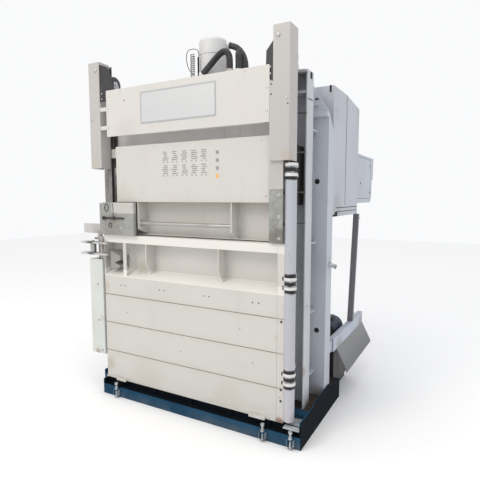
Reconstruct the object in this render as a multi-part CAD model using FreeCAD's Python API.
import FreeCAD, Part
import math
import os
from FreeCAD import Vector

# Vertical baler with automatic loading. Millimetres, +Z up, +Y to the rear, origin at the
# centre of the base frame's underside.

# ---- driving dimensions -------------------------------------------------------------
MID = -80.0                # middle plane of the press chamber
BASE_X = 866.0             # half length of the base frame's front
BASE_Y = 436.0             # half depth of the base frame
LEFT_END = -950.0          # left end of the base behind its front skirt
INNER = 710.0              # half inner width of the chamber
WALL = 6.0                 # chamber plate
FRONT_Y = -270.0           # front edges of the chamber walls
REAR_Y = 415.0             # back of the rear wall
FLOOR_Z = 150.0            # underside of the floor plate
FLOOR_T = 15.0
FACE_Y = -435.0            # front of the header and the posts
DOOR_Y = -395.0            # front of both doors
BACK_Y = -285.0            # recessed panels of both doors
TOP_Z = 2420.0             # top of the chamber walls and the header
COLUMN_TOP = 2430.0
BALE_BOTTOM, BALE_TOP = 128.0, 1315.0
FEED_BOTTOM, FEED_SPLIT, FEED_TOP = 1322.0, 1575.0, 2001.0
POST_X0, POST_X1 = 653.0, 764.0
POST_Z0, POST_Z1 = 1838.0, 2645.0
COL_X0, COL_X1 = 636.0, 790.0
COL_Y0, COL_Y1 = -199.0, -82.0
REAR_X = 854.0             # outer face of the rear column
HINGE_X, HINGE_Y = 756.0, -375.0
TUBE_R, PIN_R = 37.0, 18.0
KNUCKLES = ((394.0, 476.0), (1025.0, 1105.0), (1741.0, 1824.0))
LUG_T = 20.0
CYL_Y = 55.0               # press cylinder axis, on the middle plane
BARREL_R, SLEEVE_R, ROD_R = 113.5, 84.0, 60.0
PLATEN_Z0, PLATEN_Z1 = 2010.0, 2250.0
HEAD_Y0, HEAD_Y1 = 205.0, 951.0
HEAD_X = 845.0             # right outer face of the loading head
HEAD_Z0, HEAD_Z1 = 1467.0, 2410.0
RAKE_Y, RAKE_Z = 440.0, 1990.0
RAIL_X0, RAIL_X1 = 650.0, 684.0
RAIL_Y0, RAIL_Y1 = -334.0, -300.0
CHAIN_X = 700.0
PULLEY_Y, PULLEY_Z = -230.0, 2520.0
CHAIN_R = 60.0             # from the pulley axis to the middle of the chain
WEIGHT_Z0, WEIGHT_Z1 = 1560.0, 1950.0
HOOK_Z = 1820.0            # where the chains hold the feed door
LOCK_X, LOCK_Y = -950.0, -345.0
ROLLER_X, ROLLER_Y = -985.0, -388.0
RUN = 0.06                 # radial play of running fits

os.makedirs("parts", exist_ok=True)


# ---- helpers ------------------------------------------------------------------------
def box(x0, x1, y0, y1, z0, z1):
    return Part.makeBox(x1 - x0, y1 - y0, z1 - z0, Vector(x0, y0, z0))


def rod(radius, start, end):
    a, b = Vector(*start), Vector(*end)
    return Part.makeCylinder(radius, (b - a).Length, a, b - a)


def prism(axis, low, high, outline):
    """A flat outline in the two other axes, raised along the named axis."""
    places = {
        "x": lambda a, b: Vector(low, a, b),
        "y": lambda a, b: Vector(a, low, b),
        "z": lambda a, b: Vector(a, b, low),
    }
    along = {"x": Vector(1, 0, 0), "y": Vector(0, 1, 0), "z": Vector(0, 0, 1)}
    points = [places[axis](a, b) for a, b in outline]
    face = Part.Face(Part.makePolygon(points + points[:1]))
    return face.extrude(along[axis] * (high - low))


def fuse(shapes):
    shapes = list(shapes)
    whole = shapes[0].multiFuse(shapes[1:]) if len(shapes) > 1 else shapes[0]
    return whole.removeSplitter()


def cut(shape, *tools):
    for tool in tools:
        shape = shape.cut(tool)
    return shape


def mirror(shape):
    """The same piece on the left of the chamber's middle plane."""
    return shape.mirror(Vector(MID, 0, 0), Vector(1, 0, 0))


def flip(x):
    return 2 * MID - x


def keep(name, shape):
    shape.exportStep("parts/%s.step" % name)


# ---- base ---------------------------------------------------------------------------
CLAMPS = (-890.0, -707.0, 602.0, 800.0)


def base_frame():
    sheet = 12.0
    raised = [(-BASE_Y, 0), (BASE_Y, 0), (BASE_Y, 150), (190, 183), (165, 208), (-160, 208),
              (-185, 183), (-BASE_Y, 183)]
    skirt = box(-BASE_X, BASE_X, FACE_Y, FACE_Y + sheet, 0, 82)
    ledge = box(-BASE_X, BASE_X, FACE_Y, -368, 70, 82)
    recess = box(-BASE_X, BASE_X, -380, -368, 82, 120)
    right = prism("x", BASE_X - sheet, BASE_X, raised)
    left_front = box(-BASE_X, -BASE_X + sheet, FACE_Y, -330, 0, 120)
    return_left = box(LEFT_END, -BASE_X + sheet, -342, -330, 0, 120)
    left = box(LEFT_END, LEFT_END + sheet, -342, BASE_Y, 0, FLOOR_Z)
    rear = box(LEFT_END, BASE_X, BASE_Y - sheet, BASE_Y, 0, FLOOR_Z)
    beams = [box(LEFT_END, BASE_X, y - 30, y + 30, 0, 138) for y in (-238, 0, 370)]
    decks = [box(COL_X0 - 6, BASE_X, FRONT_Y, BASE_Y, 138, FLOOR_Z),
             box(LEFT_END, flip(COL_X0 - 6), FRONT_Y, BASE_Y, 138, FLOOR_Z)]
    pads = [box(flip(COL_X0), COL_X0, y - 30, y + 30, 138, FLOOR_Z) for y in (-238, 0, 370)]
    corners = [box(690, 720, FACE_Y + sheet, -380, 0, 82), box(-700, -670, FACE_Y + sheet, -380, 0, 82)]
    return fuse([skirt, ledge, recess, right, left_front, return_left, left, rear]
                + beams + decks + pads + corners + clamp_forks())


def clamp_forks():
    """Forked brackets of flat bar, welded to the front skirt."""
    forks = []
    for x in CLAMPS:
        plate = box(x - 22, x + 22, -465, FACE_Y, 60, 70)
        sides = [box(x - 22, x - 14, -465, FACE_Y, 20, 60), box(x + 14, x + 22, -465, FACE_Y, 20, 60)]
        whole = fuse([plate] + sides)
        if x < -BASE_X:
            whole.translate(Vector(0, 93, 0))
        forks.append(cut(whole, rod(8, (x, -452, 0), (x, -452, 90)), rod(8, (x, -359, 0), (x, -359, 90))))
    return forks


def clamp_bolts():
    """Levelling bolts that stand on the floor."""
    bolts = []
    for x in CLAMPS:
        y = -359.0 if x < -BASE_X else -452.0
        bolts.append(fuse([rod(8, (x, y, 0), (x, y, 120)), rod(13, (x, y, 0), (x, y, 6)),
                           rod(14, (x, y, 70), (x, y, 82)), rod(13, (x, y, 108), (x, y, 122))]))
    return Part.makeCompound(bolts)


EJECT_Y, EJECT_Z = -212.0, 157.5


def floor_plate():
    plate = box(flip(COL_X0 - 6), COL_X0 - 6, FRONT_Y, REAR_Y - WALL, FLOOR_Z, FLOOR_Z + FLOOR_T)
    opening = box(-690, 530, -225, 335, FLOOR_Z - 1, FLOOR_Z + FLOOR_T + 1)
    bore = rod(5 + RUN, (-708, EJECT_Y, EJECT_Z), (548, EJECT_Y, EJECT_Z))
    return cut(plate, opening, bore)


def ejector_flap():
    """The flap that tips the finished bale out, with the string channels milled in it."""
    flap = box(-686, 526, -204, 331, 151, 164)
    knuckle = rod(6, (-686, EJECT_Y, EJECT_Z), (526, EJECT_Y, EJECT_Z))
    neck = box(-686, 526, EJECT_Y, -203, 153, 161)
    pin = rod(5, (-706, EJECT_Y, EJECT_Z), (546, EJECT_Y, EJECT_Z))
    grooves = [box(x - 15, x + 15, -205, 332, 156, 165) for x in (-530, -230, 70, 370)]
    return cut(fuse([flap, knuckle, neck, pin]), *grooves)


# ---- chamber ------------------------------------------------------------------------
def wall_right():
    return box(INNER + MID, COL_X0, FRONT_Y, REAR_Y, FLOOR_Z, TOP_Z)


def wall_rear():
    plate = box(flip(INNER + MID), INNER + MID, REAR_Y - WALL, REAR_Y, FLOOR_Z, TOP_Z)
    window = box(-740, 580, REAR_Y - WALL - 1, REAR_Y + 1, HEAD_Z0, 2080)
    return cut(plate, window)


def plate_front_upper():
    return box(flip(INNER + MID), INNER + MID, FRONT_Y, FRONT_Y + WALL, 2008, TOP_Z)


def column_front():
    """A C-section open to the front; its cap and shelf let the lift chain through."""
    web = box(COL_X0, COL_X1, COL_Y1 - 6, COL_Y1, FLOOR_Z, COLUMN_TOP)
    flanges = [box(COL_X0, COL_X0 + 10, COL_Y0, COL_Y1, FLOOR_Z, COLUMN_TOP),
               box(COL_X1 - 10, COL_X1, COL_Y0, COL_Y1, FLOOR_Z, COLUMN_TOP)]
    shelf = box(COL_X0, COL_X1, COL_Y0 + 6, COL_Y1, 2285, 2295)
    cap = box(COL_X0, COL_X1, COL_Y0, COL_Y1, COLUMN_TOP - 6, COLUMN_TOP)
    lip = box(COL_X0, COL_X1, COL_Y0, COL_Y0 + 6, COLUMN_TOP - 26, COLUMN_TOP)
    slot = box(CHAIN_X - 16, CHAIN_X + 16, -182, -150, 1900, COLUMN_TOP + 1)
    return fuse([cut(fuse([web, cap, lip, shelf] + flanges), slot), pulley_bracket()])


def column_rear():
    """An upright with a slanted head, an outer flange and gusset lugs towards the front column."""
    sheet = 8.0
    front = prism("y", 65, 65 + sheet, [(COL_X0, FLOOR_Z), (REAR_X, FLOOR_Z), (REAR_X, 2205), (789, 2300),
                                        (738, 2388), (COL_X0, 2388)])
    holes = [rod(14, (x, 60, z), (x, 80, z)) for x, z in ((790, 642), (775, 1724))]
    flange = prism("x", REAR_X - sheet, REAR_X, [(65, FLOOR_Z), (190, FLOOR_Z), (190, 2075), (65, 2205)])
    lugs = [prism("z", z, z + 10, [(738, COL_Y1), (790, COL_Y1), (790, 20), (765, 65), (738, 65)])
            for z in (350, 800, 1290, 2060)]
    pin = box(738, REAR_X, 25, 65, 2165, 2198)
    return cut(fuse([front, flange, pin] + lugs), *holes)


def crosshead():
    plates = [box(flip(COL_X0), COL_X0, FRONT_Y, REAR_Y, TOP_Z, TOP_Z + 18),
              box(flip(COL_X0), COL_X0, -100, 210, 2487, 2505)]
    webs = [box(flip(COL_X0), COL_X0, y, y + 12, TOP_Z + 18, 2487) for y in (-96, 194)]
    ribs = [box(x, x + 12, -84, 194, TOP_Z + 18, 2487) for x in (-236, 64)]
    beam = cut(fuse(plates + webs + ribs), rod(BARREL_R, (MID, CYL_Y, 2400), (MID, CYL_Y, 2520)))
    ports = [port(name, False, host_z=2500) for name in ("hose_front", "hose_middle")]
    ports += [port(name, True, host_z=2500) for name in HOSES]
    return fuse([beam] + ports)


# ---- front sheets -------------------------------------------------------------------
HEADER_X0, HEADER_X1, HEADER_Z0 = -745.0, 630.0, 2075.0


def header_panel():
    sheet = 3.0
    front = box(HEADER_X0, HEADER_X1, FACE_Y, FACE_Y + sheet, HEADER_Z0, TOP_Z)
    returns = [box(HEADER_X0 + 110, HEADER_X1 - 50, FACE_Y, -403, z, z + sheet)
               for z in (HEADER_Z0, TOP_Z - sheet)]
    tabs = []
    for z in (2130.0, 2270.0):
        tabs.append(box(HEADER_X1 - 30, POST_X0, FACE_Y + sheet, FACE_Y + 9, z, z + 30))
        tabs.append(box(flip(POST_X0), HEADER_X0 + 30, FACE_Y + sheet, FACE_Y + 9, z, z + 30))
    return fuse([front] + returns + tabs)


def sign_plate():
    return box(-404, 244, FACE_Y - 2, FACE_Y, 2146, 2372)


def corner_plates():
    """Black sheet gussets in the corners between header and posts."""
    right = prism("y", -428, -422, [(600, 2345), (POST_X0, 2318), (POST_X0, 2563), (604, 2503)])
    left = prism("y", -428, -422, [(flip(POST_X0), 2345), (-668, 2345), (-674, 2443), (-693, 2519),
                                   (-735, 2597), (flip(POST_X0), 2625)])
    return Part.makeCompound([right, left])


COVER_Y = -412.0           # front of the sheets over the guide rails


def post():
    sheet = 3.0
    front = box(POST_X0, POST_X1, FACE_Y, FACE_Y + sheet, POST_Z0, POST_Z1)
    sides = [box(POST_X0, POST_X0 + sheet, FACE_Y, RAIL_Y0, POST_Z0, POST_Z1),
             box(POST_X1 - sheet, POST_X1, FACE_Y, -305, POST_Z0, POST_Z1)]
    cap = box(POST_X0, POST_X1, FACE_Y, RAIL_Y0, POST_Z1 - sheet, POST_Z1)
    return fuse([front, cap] + sides)


def post_right():
    """The right post carries a jamb up to the header and a cover sheet down to the rail cover."""
    jamb = box(HEADER_X1 + 1, POST_X0 + 3, FACE_Y, FACE_Y + 3, POST_Z0, 2318)
    web = box(HEADER_X1 + 1, 716, FACE_Y, COVER_Y + 3, POST_Z0, POST_Z0 + 3)
    cover = box(621, 716, COVER_Y, COVER_Y + 3, 1660, 1850)
    return fuse([post(), jamb, web, cover])


def rail():
    """Guide channel of the feed door, open towards it, with angle brackets to the column."""
    front = box(RAIL_X0, RAIL_X1, RAIL_Y0, RAIL_Y0 + 4, 1318, 2640)
    back = box(RAIL_X0, RAIL_X1, RAIL_Y1 - 4, RAIL_Y1, 1318, 2640)
    web = box(RAIL_X1 - 4, RAIL_X1, RAIL_Y0, RAIL_Y1, 1318, 2640)
    brackets = []
    for z in (1435.0, 1640.0, 1900.0, 2150.0, 2400.0):
        brackets.append(box(RAIL_X1, 726, -330, -304, z, z + 10))
        brackets.append(box(714, 726, -330, COL_Y0, z, z + 10))
        brackets.append(box(714, COL_X1, -215, COL_Y0, z, z + 10))
    return fuse([front, back, web] + brackets)


def rail_left():
    """The left rail with the jamb plate that closes the gap beside the feed door."""
    jamb = box(-948, -790, -277, -271, 1318, 2400)
    return fuse([mirror(rail()), jamb])


def rail_cover(top, inner):
    """Folded galvanised sheet in front of a guide rail."""
    front = box(inner, 716, COVER_Y, COVER_Y + 3, 1318, top)
    stay = box(672, 676, COVER_Y + 3, RAIL_Y0, 1318, top)
    return fuse([front, stay])


LATCH_X, LATCH_Z = -700.0, 1450.0


def latch_housing():
    cover = mirror(rail_cover(1567, 625))
    shell = cut(box(-823, -501, -430, -402, 1318, 1572), box(-820, -504, -427, -401, 1321, 1569))
    bore = rod(8 + RUN, (LATCH_X, -440, LATCH_Z), (LATCH_X, -400, LATCH_Z))
    return cut(fuse([cover, shell]), bore)


def feed_latch():
    bar = box(-814, -595, -440, -434, LATCH_Z - 6, LATCH_Z + 6)
    hub = rod(14, (LATCH_X, -434, LATCH_Z), (LATCH_X, -430.4, LATCH_Z))
    pin = rod(8, (LATCH_X, -434, LATCH_Z), (LATCH_X, -412, LATCH_Z))
    ring = cut(rod(16, (-800, -446, LATCH_Z), (-800, -440, LATCH_Z)),
               rod(10, (-800, -447, LATCH_Z), (-800, -439, LATCH_Z)))
    return fuse([bar, hub, pin, ring])


# ---- feed door ----------------------------------------------------------------------
RIB_LEFT, RIB_RIGHT = -492.0, 330.0
RIB_T = 8.0                # the grip bar runs from rib to rib


def feed_door():
    sheet = 3.0
    left, front_left, right = -768.0, -697.0, 618.0
    parts = [box(front_left, right, DOOR_Y, DOOR_Y + sheet, FEED_SPLIT, FEED_TOP),
             box(front_left, right, DOOR_Y, BACK_Y, FEED_SPLIT, FEED_SPLIT + sheet),
             box(front_left, right, DOOR_Y, BACK_Y, FEED_TOP - sheet, FEED_TOP),
             box(left, right, BACK_Y - sheet, BACK_Y, FEED_BOTTOM, FEED_TOP),
             box(left, right, -320, BACK_Y, FEED_BOTTOM, FEED_BOTTOM + 8)]
    for x in (front_left, right - 4):
        parts.append(box(x, x + 4, DOOR_Y, BACK_Y, FEED_BOTTOM, FEED_TOP))
    for x in (RIB_LEFT, RIB_RIGHT):
        parts.append(prism("x", x, x + RIB_T, [(DOOR_Y, FEED_SPLIT), (BACK_Y, FEED_SPLIT),
                                           (BACK_Y, 1330), (-330, 1345), (DOOR_Y, 1372)]))
    for x in (-400.0, 0.0, 200.0):
        parts.append(box(x, x + 4, DOOR_Y, BACK_Y, FEED_SPLIT, FEED_TOP))
    for z in (1340.0, 1925.0):
        parts.append(box(right, 640, -328, -306, z, z + 70))
        parts.append(box(flip(640), front_left + 7, -328, -306, z, z + 70))
    for x0, x1 in ((right - 10, CHAIN_X + 8), (flip(CHAIN_X + 8), left + 8)):
        parts.append(box(x0, x1, -296, -284, HOOK_Z - 30, HOOK_Z + 30))
    return fuse(parts)


def guide_shoes():
    pads = [box(640, 676, -328, -306, z, z + 70) for z in (1340.0, 1925.0)]
    return Part.makeCompound(pads + [mirror(pad) for pad in pads])


def feed_door_bar():
    return rod(14, (RIB_LEFT + RIB_T, -368, 1415), (RIB_RIGHT, -368, 1415))


def both_sides(shape):
    return Part.makeCompound([shape, mirror(shape)])


def chain_run(y, low):
    return box(CHAIN_X - 7, CHAIN_X + 7, y - 6, y + 6, low, PULLEY_Z)


def chain_arc():
    """The stretch of chain that lies over its pulley."""
    ring = cut(rod(CHAIN_R + 6, (CHAIN_X - 7, PULLEY_Y, PULLEY_Z), (CHAIN_X + 7, PULLEY_Y, PULLEY_Z)),
               rod(CHAIN_R - 6, (CHAIN_X - 8, PULLEY_Y, PULLEY_Z), (CHAIN_X + 8, PULLEY_Y, PULLEY_Z)))
    return cut(ring, box(CHAIN_X - 20, CHAIN_X + 20, -400, 0, PULLEY_Z - 200, PULLEY_Z))


def pulley():
    rim = rod(CHAIN_R - 6.4, (CHAIN_X - 12, PULLEY_Y, PULLEY_Z), (CHAIN_X + 12, PULLEY_Y, PULLEY_Z))
    cheeks = [rod(CHAIN_R + 3, (CHAIN_X + a, PULLEY_Y, PULLEY_Z), (CHAIN_X + b, PULLEY_Y, PULLEY_Z))
              for a, b in ((-12, -8), (8, 12))]
    bore = rod(10 + RUN, (CHAIN_X - 20, PULLEY_Y, PULLEY_Z), (CHAIN_X + 20, PULLEY_Y, PULLEY_Z))
    return cut(fuse([rim] + cheeks), bore)


def pulley_bracket():
    cheek = [(COL_Y0, COLUMN_TOP), (-175, COLUMN_TOP), (-185, 2480), (-210, 2545), (-250, 2545),
             (-250, 2490)]
    sides = [prism("x", x, x + 6, cheek) for x in (CHAIN_X - 20, CHAIN_X + 14)]
    pin = rod(10, (CHAIN_X - 26, PULLEY_Y, PULLEY_Z), (CHAIN_X + 26, PULLEY_Y, PULLEY_Z))
    return fuse(sides + [pin])


def counterweight():
    return box(CHAIN_X - 36, CHAIN_X + 36, -192, -100, WEIGHT_Z0, WEIGHT_Z1)


# ---- bale door ----------------------------------------------------------------------
PLANK_JOINTS = (362.0, 598.0, 830.0)


def bale_door():
    left, right = -856.0, 700.0
    sill, ledge_top, beam = 985.0, 1040.0, 1255.0
    shell = box(left, right, DOOR_Y, BACK_Y, BALE_BOTTOM, sill)
    cells = [box(x + 8, x + 372, DOOR_Y + 8, BACK_Y - 6, BALE_BOTTOM + 8, sill - 8)
             for x in (left, -470.0, -84.0, 302.0)]
    drains = [rod(10, (x + 190, -340, BALE_BOTTOM - 1), (x + 190, -340, BALE_BOTTOM + 9))
              for x in (left, -470.0, -84.0, 302.0)]
    seams = [box(left - 1, 675, DOOR_Y - 1, DOOR_Y + 3, z - 2, z + 2) for z in PLANK_JOINTS]
    seams.append(box(674, 677, DOOR_Y - 1, DOOR_Y + 2, BALE_BOTTOM - 1, BALE_TOP + 1))
    slope = prism("x", left, right, [(DOOR_Y, sill), (BACK_Y, sill), (BACK_Y, ledge_top),
                                     (-291, ledge_top), (DOOR_Y, sill + 4)])
    panel = box(left, right, BACK_Y - 6, BACK_Y, ledge_top, BALE_TOP)
    top = cut(box(left, right, DOOR_Y, BACK_Y, beam, BALE_TOP),
              box(left + 8, right - 8, DOOR_Y + 6, BACK_Y - 6, beam + 6, BALE_TOP - 6),
              rod(10, (-400, -340, beam - 1), (-400, -340, beam + 7)))
    ends = [box(left, left + 8, DOOR_Y, BACK_Y, sill, beam), box(675, right, DOOR_Y, BACK_Y, sill, beam)]
    ribs = [prism("x", x, x + 8, [(BACK_Y, 1005), (BACK_Y, beam), (DOOR_Y, beam), (DOOR_Y, 1110),
                                  (-345, 1020)]) for x in (-424.0, 225.0)]
    ribs.append(box(-652, -620, DOOR_Y, DOOR_Y + 10, 985, 1255))
    pads = [box(-735, -640, -420, DOOR_Y, BALE_BOTTOM, BALE_BOTTOM + 16),
            box(480, 600, -420, DOOR_Y, BALE_BOTTOM, BALE_BOTTOM + 16)]
    side = box(right, 727, DOOR_Y, -360, BALE_BOTTOM, BALE_TOP)
    hinge = rod(TUBE_R, (HINGE_X, HINGE_Y, 0), (HINGE_X, HINGE_Y, 2000))
    gaps = [rod(TUBE_R + 14, (HINGE_X, HINGE_Y, a - 3), (HINGE_X, HINGE_Y, a + LUG_T + 3))
            for low, high in KNUCKLES for a in (low, high - LUG_T)]
    shell = cut(shell, *(cells + drains))
    return cut(fuse([shell, slope, panel, top, side] + ends + ribs + pads), *(seams + [hinge] + gaps))


def door_tube():
    """Tube segments of the door hinge, with gaps where the frame's lugs come between them."""
    stops = [150.0]
    for low, high in KNUCKLES:
        stops += [low - 2, low + LUG_T + 2, high - LUG_T - 2, high + 2]
    segments = []
    for low, high in zip(stops[0::2], stops[1::2]):
        outer = rod(TUBE_R, (HINGE_X, HINGE_Y, low), (HINGE_X, HINGE_Y, high))
        segments.append(cut(outer, rod(PIN_R + RUN, (HINGE_X, HINGE_Y, low), (HINGE_X, HINGE_Y, high))))
    return Part.makeCompound(segments)


def hinge_lugs():
    lugs = []
    for low, high in KNUCKLES:
        for z in (low, high - LUG_T):
            disc = rod(TUBE_R + 5, (HINGE_X, HINGE_Y, z), (HINGE_X, HINGE_Y, z + LUG_T))
            arm = prism("z", z, z + LUG_T, [(728, HINGE_Y), (780, HINGE_Y), (736, COL_Y0),
                                            (690, COL_Y0), (714, -282)])
            eye = rod(PIN_R, (HINGE_X, HINGE_Y, z - 1), (HINGE_X, HINGE_Y, z + LUG_T + 1))
            lugs.append(cut(fuse([disc, arm]), eye))
    return Part.makeCompound(lugs)


def hinge_pins():
    return Part.makeCompound([rod(PIN_R, (HINGE_X, HINGE_Y, low - 6), (HINGE_X, HINGE_Y, high + 4))
                              for low, high in KNUCKLES])


# ---- door lock ----------------------------------------------------------------------
def door_lock_lugs():
    back = box(-864, -856, -425, -300, 1130, 1300)
    plates = []
    for z in (1146.0, 1237.0):
        plates.append(box(-1092, -856, -425, -365, z, z + 16))
        plates.append(box(-857, -802, -425, DOOR_Y, z, z + 16))
    pin = rod(8, (ROLLER_X, ROLLER_Y, 1140), (ROLLER_X, ROLLER_Y, 1260))
    return fuse([back, pin] + plates)


def door_lock_roller():
    return cut(rod(24, (ROLLER_X, ROLLER_Y, 1163), (ROLLER_X, ROLLER_Y, 1236)),
               rod(8 + RUN, (ROLLER_X, ROLLER_Y, 1160), (ROLLER_X, ROLLER_Y, 1240)))


def lock_shaft():
    """Upright shaft with the hook that draws the bale door shut, and its turning bar on top."""
    shaft = rod(14, (LOCK_X, LOCK_Y, 880), (LOCK_X, LOCK_Y, 1330))
    collar = rod(20, (LOCK_X, LOCK_Y, 1288), (LOCK_X, LOCK_Y, 1318))
    bar = box(-1130, -931, LOCK_Y - 6, LOCK_Y + 6, 1318, 1396)
    ring = cut(rod(104, (LOCK_X, LOCK_Y, 1185), (LOCK_X, LOCK_Y, 1215)),
               rod(82, (LOCK_X, LOCK_Y, 1184), (LOCK_X, LOCK_Y, 1216)))
    start, end = math.radians(63), math.radians(130)
    far = 170.0
    sector = prism("z", 1180, 1220, [(LOCK_X, LOCK_Y),
                                     (LOCK_X + far * math.cos(start), LOCK_Y + far * math.sin(start)),
                                     (LOCK_X + far * math.cos(end), LOCK_Y + far * math.sin(end))])
    claw = ring.common(sector)
    arm = box(LOCK_X, LOCK_X + 90, LOCK_Y - 10, LOCK_Y + 10, 1185, 1215)
    arm.rotate(Vector(LOCK_X, LOCK_Y, 0), Vector(0, 0, 1), 70)
    return fuse([shaft, collar, bar, claw, arm])


def lock_post():
    sheet = 3.0
    x0, x1 = -1014.0, -870.0
    parts = [box(x0, x1, -405, -405 + sheet, 316, 1110), box(x0, x0 + sheet, -405, -335, 316, 1110),
             box(x1 - sheet, x1, -405, -335, 316, 1110), box(x0, x1, -405, -320, 1102, 1110),
             box(x0, x1, -405, -320, 885, 893), box(x0, x1, -405, -335, 316, 319)]
    arms = [box(-950, -900, -336, COL_Y0, z, z + 20) for z in (380.0, 1060.0)]
    stay = box(-950, -900, -336, -320, 340, 1110)
    bore = rod(14 + RUN, (LOCK_X, LOCK_Y, 870), (LOCK_X, LOCK_Y, 1120))
    return cut(fuse(parts + arms + [stay]), bore)


def lock_bearing():
    plate = box(-985, -874, -372, COL_Y0, 1268, 1284)
    return cut(plate, rod(14 + RUN, (LOCK_X, LOCK_Y, 1260), (LOCK_X, LOCK_Y, 1290)))


# ---- press --------------------------------------------------------------------------
def cylinder_barrel():
    outer = rod(BARREL_R, (MID, CYL_Y, 2262), (MID, CYL_Y, 2828))
    outer = outer.makeFillet(30, [max(outer.Edges, key=lambda edge: edge.CenterOfMass.z)])
    return cut(fuse([outer, port("hose_right", False)]), rod(96, (MID, CYL_Y, 2300), (MID, CYL_Y, 2805)),
               rod(SLEEVE_R + RUN, (MID, CYL_Y, 2250), (MID, CYL_Y, 2310)))


def cylinder_sleeve():
    outer = rod(SLEEVE_R, (MID, CYL_Y, 2256), (MID, CYL_Y, 2798))
    return cut(outer, rod(72, (MID, CYL_Y, 2296), (MID, CYL_Y, 2786)),
               rod(ROD_R + RUN, (MID, CYL_Y, 2250), (MID, CYL_Y, 2300)))


def cylinder_rod():
    return rod(ROD_R, (MID, CYL_Y, PLATEN_Z1), (MID, CYL_Y, 2780))


def platen():
    x0, x1, y0, y1 = -782.0, 622.0, -258.0, 398.0
    plate = box(x0, x1, y0, y1, PLATEN_Z0, PLATEN_Z0 + 20)
    grooves = [box(x - 15, x + 15, y0 - 1, y1 + 1, PLATEN_Z0 - 1, PLATEN_Z0 + 9)
               for x in (-530, -230, 70, 370)]
    rims = [box(x0, x1, y, y + 12, PLATEN_Z0, PLATEN_Z0 + 120) for y in (y0, y1 - 12)]
    rims += [box(x, x + 12, y0, y1, PLATEN_Z0, PLATEN_Z0 + 120) for x in (x0, x1 - 12)]
    webs = [prism("y", y, y + 16, [(x0, PLATEN_Z0), (x1, PLATEN_Z0), (x1, PLATEN_Z0 + 110),
                                   (MID + 180, PLATEN_Z1 - 16), (MID - 180, PLATEN_Z1 - 16),
                                   (x0, PLATEN_Z0 + 110)]) for y in (CYL_Y - 120, CYL_Y + 104)]
    seat = box(MID - 180, MID + 180, CYL_Y - 130, CYL_Y + 130, PLATEN_Z1 - 24, PLATEN_Z1)
    posts = [box(x, x + 16, CYL_Y - 110, CYL_Y + 110, PLATEN_Z0, PLATEN_Z1 - 20)
             for x in (MID - 120, MID + 104)]
    return cut(fuse([plate, seat] + rims + webs + posts), *grooves)


# ---- loading head -------------------------------------------------------------------
def head_side():
    side = prism("x", HEAD_X - WALL, HEAD_X, [(HEAD_Y0 - WALL, HEAD_Z0), (HEAD_Y1, HEAD_Z0),
                                              (HEAD_Y1, 2370), (550, HEAD_Z1), (HEAD_Y0 - WALL, HEAD_Z1)])
    front = box(COL_X0, HEAD_X, HEAD_Y0 - WALL, HEAD_Y0, HEAD_Z0, HEAD_Z1)
    sill = box(COL_X0, HEAD_X, HEAD_Y0 - WALL, REAR_Y, HEAD_Z0, HEAD_Z0 + WALL)
    bearing = cut(box(799, HEAD_X - WALL, RAKE_Y - 45, RAKE_Y + 45, RAKE_Z - 45, RAKE_Z + 45),
                  rod(22 + RUN, (790, RAKE_Y, RAKE_Z), (HEAD_X - WALL, RAKE_Y, RAKE_Z)))
    return fuse([side, front, sill, bearing])


def head_roof():
    x0, x1 = flip(HEAD_X - WALL), HEAD_X - WALL
    main = prism("x", x0, x1, [(REAR_Y, HEAD_Z1 - 6), (550, HEAD_Z1 - 6), (HEAD_Y1 - WALL, 2364.5),
                               (HEAD_Y1 - WALL, 2370.5), (550, HEAD_Z1), (REAR_Y, HEAD_Z1)])
    strips = [box(COL_X0, x1, HEAD_Y0, REAR_Y, HEAD_Z1 - 6, HEAD_Z1),
              box(x0, flip(COL_X0), HEAD_Y0, REAR_Y, HEAD_Z1 - 6, HEAD_Z1)]
    return fuse([main] + strips)


def head_rear():
    return box(flip(HEAD_X - WALL), HEAD_X - WALL, HEAD_Y1 - WALL, HEAD_Y1, HEAD_Z0, 2364)


def loading_rake():
    """Cross shaft with curved tines that sweep material into the chamber."""
    shaft = rod(22, (flip(837), RAKE_Y, RAKE_Z), (837, RAKE_Y, RAKE_Z))
    tine = [(0, -26), (340, -24), (430, 22), (442, 52), (425, 56), (330, 14), (0, 26)]
    tines = []
    for n in range(7):
        x = -700 + n * 206.0
        flat = prism("x", x - 8, x + 8, [(RAKE_Y + a, RAKE_Z + b) for a, b in tine])
        flat.rotate(Vector(x, RAKE_Y, RAKE_Z), Vector(1, 0, 0), 20)
        tines += [flat, rod(28, (x - 12, RAKE_Y, RAKE_Z), (x + 12, RAKE_Y, RAKE_Z))]
    brace = rod(14, (-700, RAKE_Y + 280, RAKE_Z), (536, RAKE_Y + 280, RAKE_Z))
    brace.rotate(Vector(0, RAKE_Y, RAKE_Z), Vector(1, 0, 0), 20)
    return fuse([shaft, brace] + tines)


CAB_X0, CAB_X1, CAB_Y1 = 520.0, 830.0, 1650.0
SWITCHES = {"main_switch": (600.0, 1900.0), "emergency_stop": (730.0, 1900.0)}


def control_cabinet():
    body = prism("x", CAB_X0, CAB_X1, [(HEAD_Y1, 1561), (1555, 1561), (1600, 1640), (1600, 1789),
                                       (CAB_Y1, 1789), (CAB_Y1, 2000), (HEAD_Y1, 2000)])
    inside = box(CAB_X0 + 4, CAB_X1 - 4, HEAD_Y1 + 4, 1550, 1565, 1996)
    console = box(CAB_X0 + 4, CAB_X1 - 4, 1540, CAB_Y1 - 36, 1794, 1996)
    cable_entry = rod(20, (640, 1100, 1550), (640, 1100, 1570))
    holes = [rod(9, (x, CAB_Y1 - 40, z), (x, CAB_Y1 + 1, z)) for x, z in SWITCHES.values()]
    return cut(body, inside, console, cable_entry, *holes)


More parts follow.
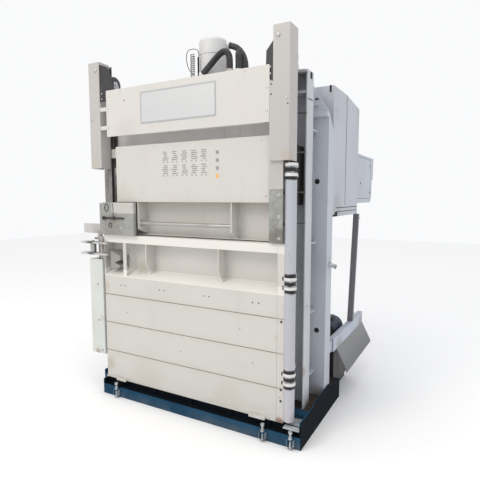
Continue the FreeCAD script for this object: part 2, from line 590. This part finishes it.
def main_switch():
    x, z = SWITCHES["main_switch"]
    stem = rod(9 - RUN, (x, CAB_Y1 - 28, z), (x, CAB_Y1 + 2, z))
    return fuse([stem, rod(26, (x, CAB_Y1 + 1, z), (x, CAB_Y1 + 14, z)),
                 box(x - 7, x + 7, CAB_Y1 + 14, CAB_Y1 + 32, z - 25, z + 25)])


def push_button(name, radius, reach):
    x, z = SWITCHES[name]
    return fuse([rod(9 - RUN, (x, CAB_Y1 - 18, z), (x, CAB_Y1 + reach, z)),
                 rod(radius, (x, CAB_Y1 + reach, z), (x, CAB_Y1 + reach + 12, z))])


def dock_rail():
    """Channel that guides the loading trolley, held by the rear column's flange."""
    web = box(822, BASE_X, 250, 1180, 430, 530)
    hollow = box(815, 858, 240, 1190, 438, 522)
    return fuse([cut(web, hollow), box(822, REAR_X, 190, 300, 438, 522)])


def deflector():
    """Sheet that slopes outwards below the docking rail."""
    sheet = prism("y", 341, 1180, [(858, 430), (866, 430), (950, 262), (950, 248), (944, 248),
                                   (944, 258)])
    return sheet


def strut():
    """Square tube from the head's lower rear corner to the docking rail."""
    return prism("x", 821, 869, [(HEAD_Y1 - 30, HEAD_Z0), (HEAD_Y1, HEAD_Z0), (828, 530), (798, 530)])


def power_pack():
    tank = cut(box(560, 800, 480, 880, 40, 370), box(565, 795, 485, 875, 45, 364),
               rod(18, (600, 840, 360), (600, 840, 372)))
    feet = [box(x, x + 30, 490, 870, 0, 40) for x in (570.0, 760.0)]
    ties = [box(x, x + 30, BASE_Y, 490, 20, 40) for x in (570.0, 760.0)]
    return fuse([tank] + feet + ties)


def pump_motor():
    body = rod(85, (705, 520, 485), (705, 780, 485))
    foot = box(640, 770, 540, 760, 370, 420)
    bell = rod(52, (705, 780, 485), (705, 850, 485))
    return fuse([body, foot, bell])


# ---- hydraulic hoses ----------------------------------------------------------------
HOSES = {
    "hose_front": ((-80, -93, 2540), (-42, -95, 2572), (2, -96, 2607), (47, -96, 2645),
                   (88, -95, 2673), (124, -93, 2672), (147, -91, 2642), (151, -90, 2592),
                   (150, -89, 2542)),
    "hose_middle": ((206, -62, 2540), (207, -60, 2594), (205, -62, 2650), (202, -39, 2674),
                    (198, -6, 2674), (195, 17, 2650), (194, 15, 2594), (194, 17, 2540)),
    "hose_right": ((58, 75, 2772), (102, 76, 2758), (140, 75, 2728), (167, 75, 2692),
                   (183, 76, 2656), (193, 75, 2606), (195, 74, 2556)),
}
HOSE_R = 23.0
PORT_R = 27.0


def port(name, last, host_z=None):
    """The fitting that a hose's end sits in, back to the plate or the barrel that carries it."""
    route = HOSES[name]
    end, beside = (Vector(*route[-1]), Vector(*route[-2])) if last else (Vector(*route[0]), Vector(*route[1]))
    out = (end - beside).normalize()
    if host_z is None:
        return rod(PORT_R, tuple(end), tuple(end + out * 32))
    neck = end + out * 20
    return fuse([rod(PORT_R, tuple(end), tuple(neck)),
                 rod(PORT_R - 5, (neck.x, neck.y, host_z), tuple(neck))])


def hose(route):
    """A tube of straight runs joined by tangent arcs along its route."""
    points = [Vector(*place) for place in route]
    edges, last = [], points[0]
    for before, at, after in zip(points, points[1:], points[2:]):
        back, on = (before - at).normalize(), (after - at).normalize()
        turn = math.pi - back.getAngle(on)
        run = 0.45 * min((before - at).Length, (after - at).Length)
        radius = run / math.tan(turn / 2)
        start, end = at + back * run, at + on * run
        bisector = (back + on).normalize()
        centre = at + bisector * (run / math.sin(turn / 2) if turn else run)
        middle = centre - bisector * radius
        edges += [Part.LineSegment(last, start).toShape(), Part.Arc(start, middle, end).toShape()]
        last = end
    edges.append(Part.LineSegment(last, points[-1]).toShape())
    ring = Part.Wire(Part.makeCircle(HOSE_R, points[0], points[1] - points[0]))
    return Part.Wire(edges).makePipeShell([ring], True, True)


# ---- write every piece --------------------------------------------------------------
keep("base_frame", base_frame())
keep("clamp_bolts", clamp_bolts())
keep("floor_plate", floor_plate())
keep("ejector_flap", ejector_flap())
keep("wall_right", wall_right())
keep("wall_left", mirror(wall_right()))
keep("wall_rear", wall_rear())
keep("plate_front_upper", plate_front_upper())
keep("column_front_right", column_front())
keep("column_front_left", mirror(column_front()))
keep("column_rear_right", column_rear())
keep("column_rear_left", mirror(column_rear()))
keep("crosshead", crosshead())
keep("header_panel", header_panel())
keep("sign_plate", sign_plate())
keep("corner_plates", corner_plates())
keep("post_right", post_right())
keep("post_left", mirror(post()))
keep("rail_right", rail())
keep("rail_left", rail_left())
keep("rail_cover", rail_cover(1658, 621))
keep("latch_housing", latch_housing())
keep("feed_latch", feed_latch())
keep("feed_door", feed_door())
keep("guide_shoes", guide_shoes())
keep("feed_door_bar", feed_door_bar())
keep("chains_door", both_sides(chain_run(PULLEY_Y - CHAIN_R, HOOK_Z + 30)))
keep("chains_weight", both_sides(chain_run(PULLEY_Y + CHAIN_R, WEIGHT_Z1)))
keep("chain_arcs", both_sides(chain_arc()))
keep("pulleys", both_sides(pulley()))
keep("counterweights", both_sides(counterweight()))
keep("bale_door", bale_door())
keep("door_tube", door_tube())
keep("hinge_lugs", hinge_lugs())
keep("hinge_pins", hinge_pins())
keep("door_lock_lugs", door_lock_lugs())
keep("door_lock_roller", door_lock_roller())
keep("lock_shaft", lock_shaft())
keep("lock_post", lock_post())
keep("lock_bearing", lock_bearing())
keep("cylinder_barrel", cylinder_barrel())
keep("cylinder_sleeve", cylinder_sleeve())
keep("cylinder_rod", cylinder_rod())
keep("platen", platen())
keep("head_side_right", head_side())
keep("head_side_left", mirror(head_side()))
keep("head_roof", head_roof())
keep("head_rear", head_rear())
keep("loading_rake", loading_rake())
keep("control_cabinet", control_cabinet())
keep("main_switch", main_switch())
keep("emergency_stop", push_button("emergency_stop", 20.0, 12.0))
keep("dock_rails", both_sides(dock_rail()))
keep("deflectors", both_sides(deflector()))
keep("struts", both_sides(strut()))
keep("power_pack", power_pack())
keep("pump_motor", pump_motor())
for hose_name, hose_route in HOSES.items():
    keep(hose_name, hose(hose_route))
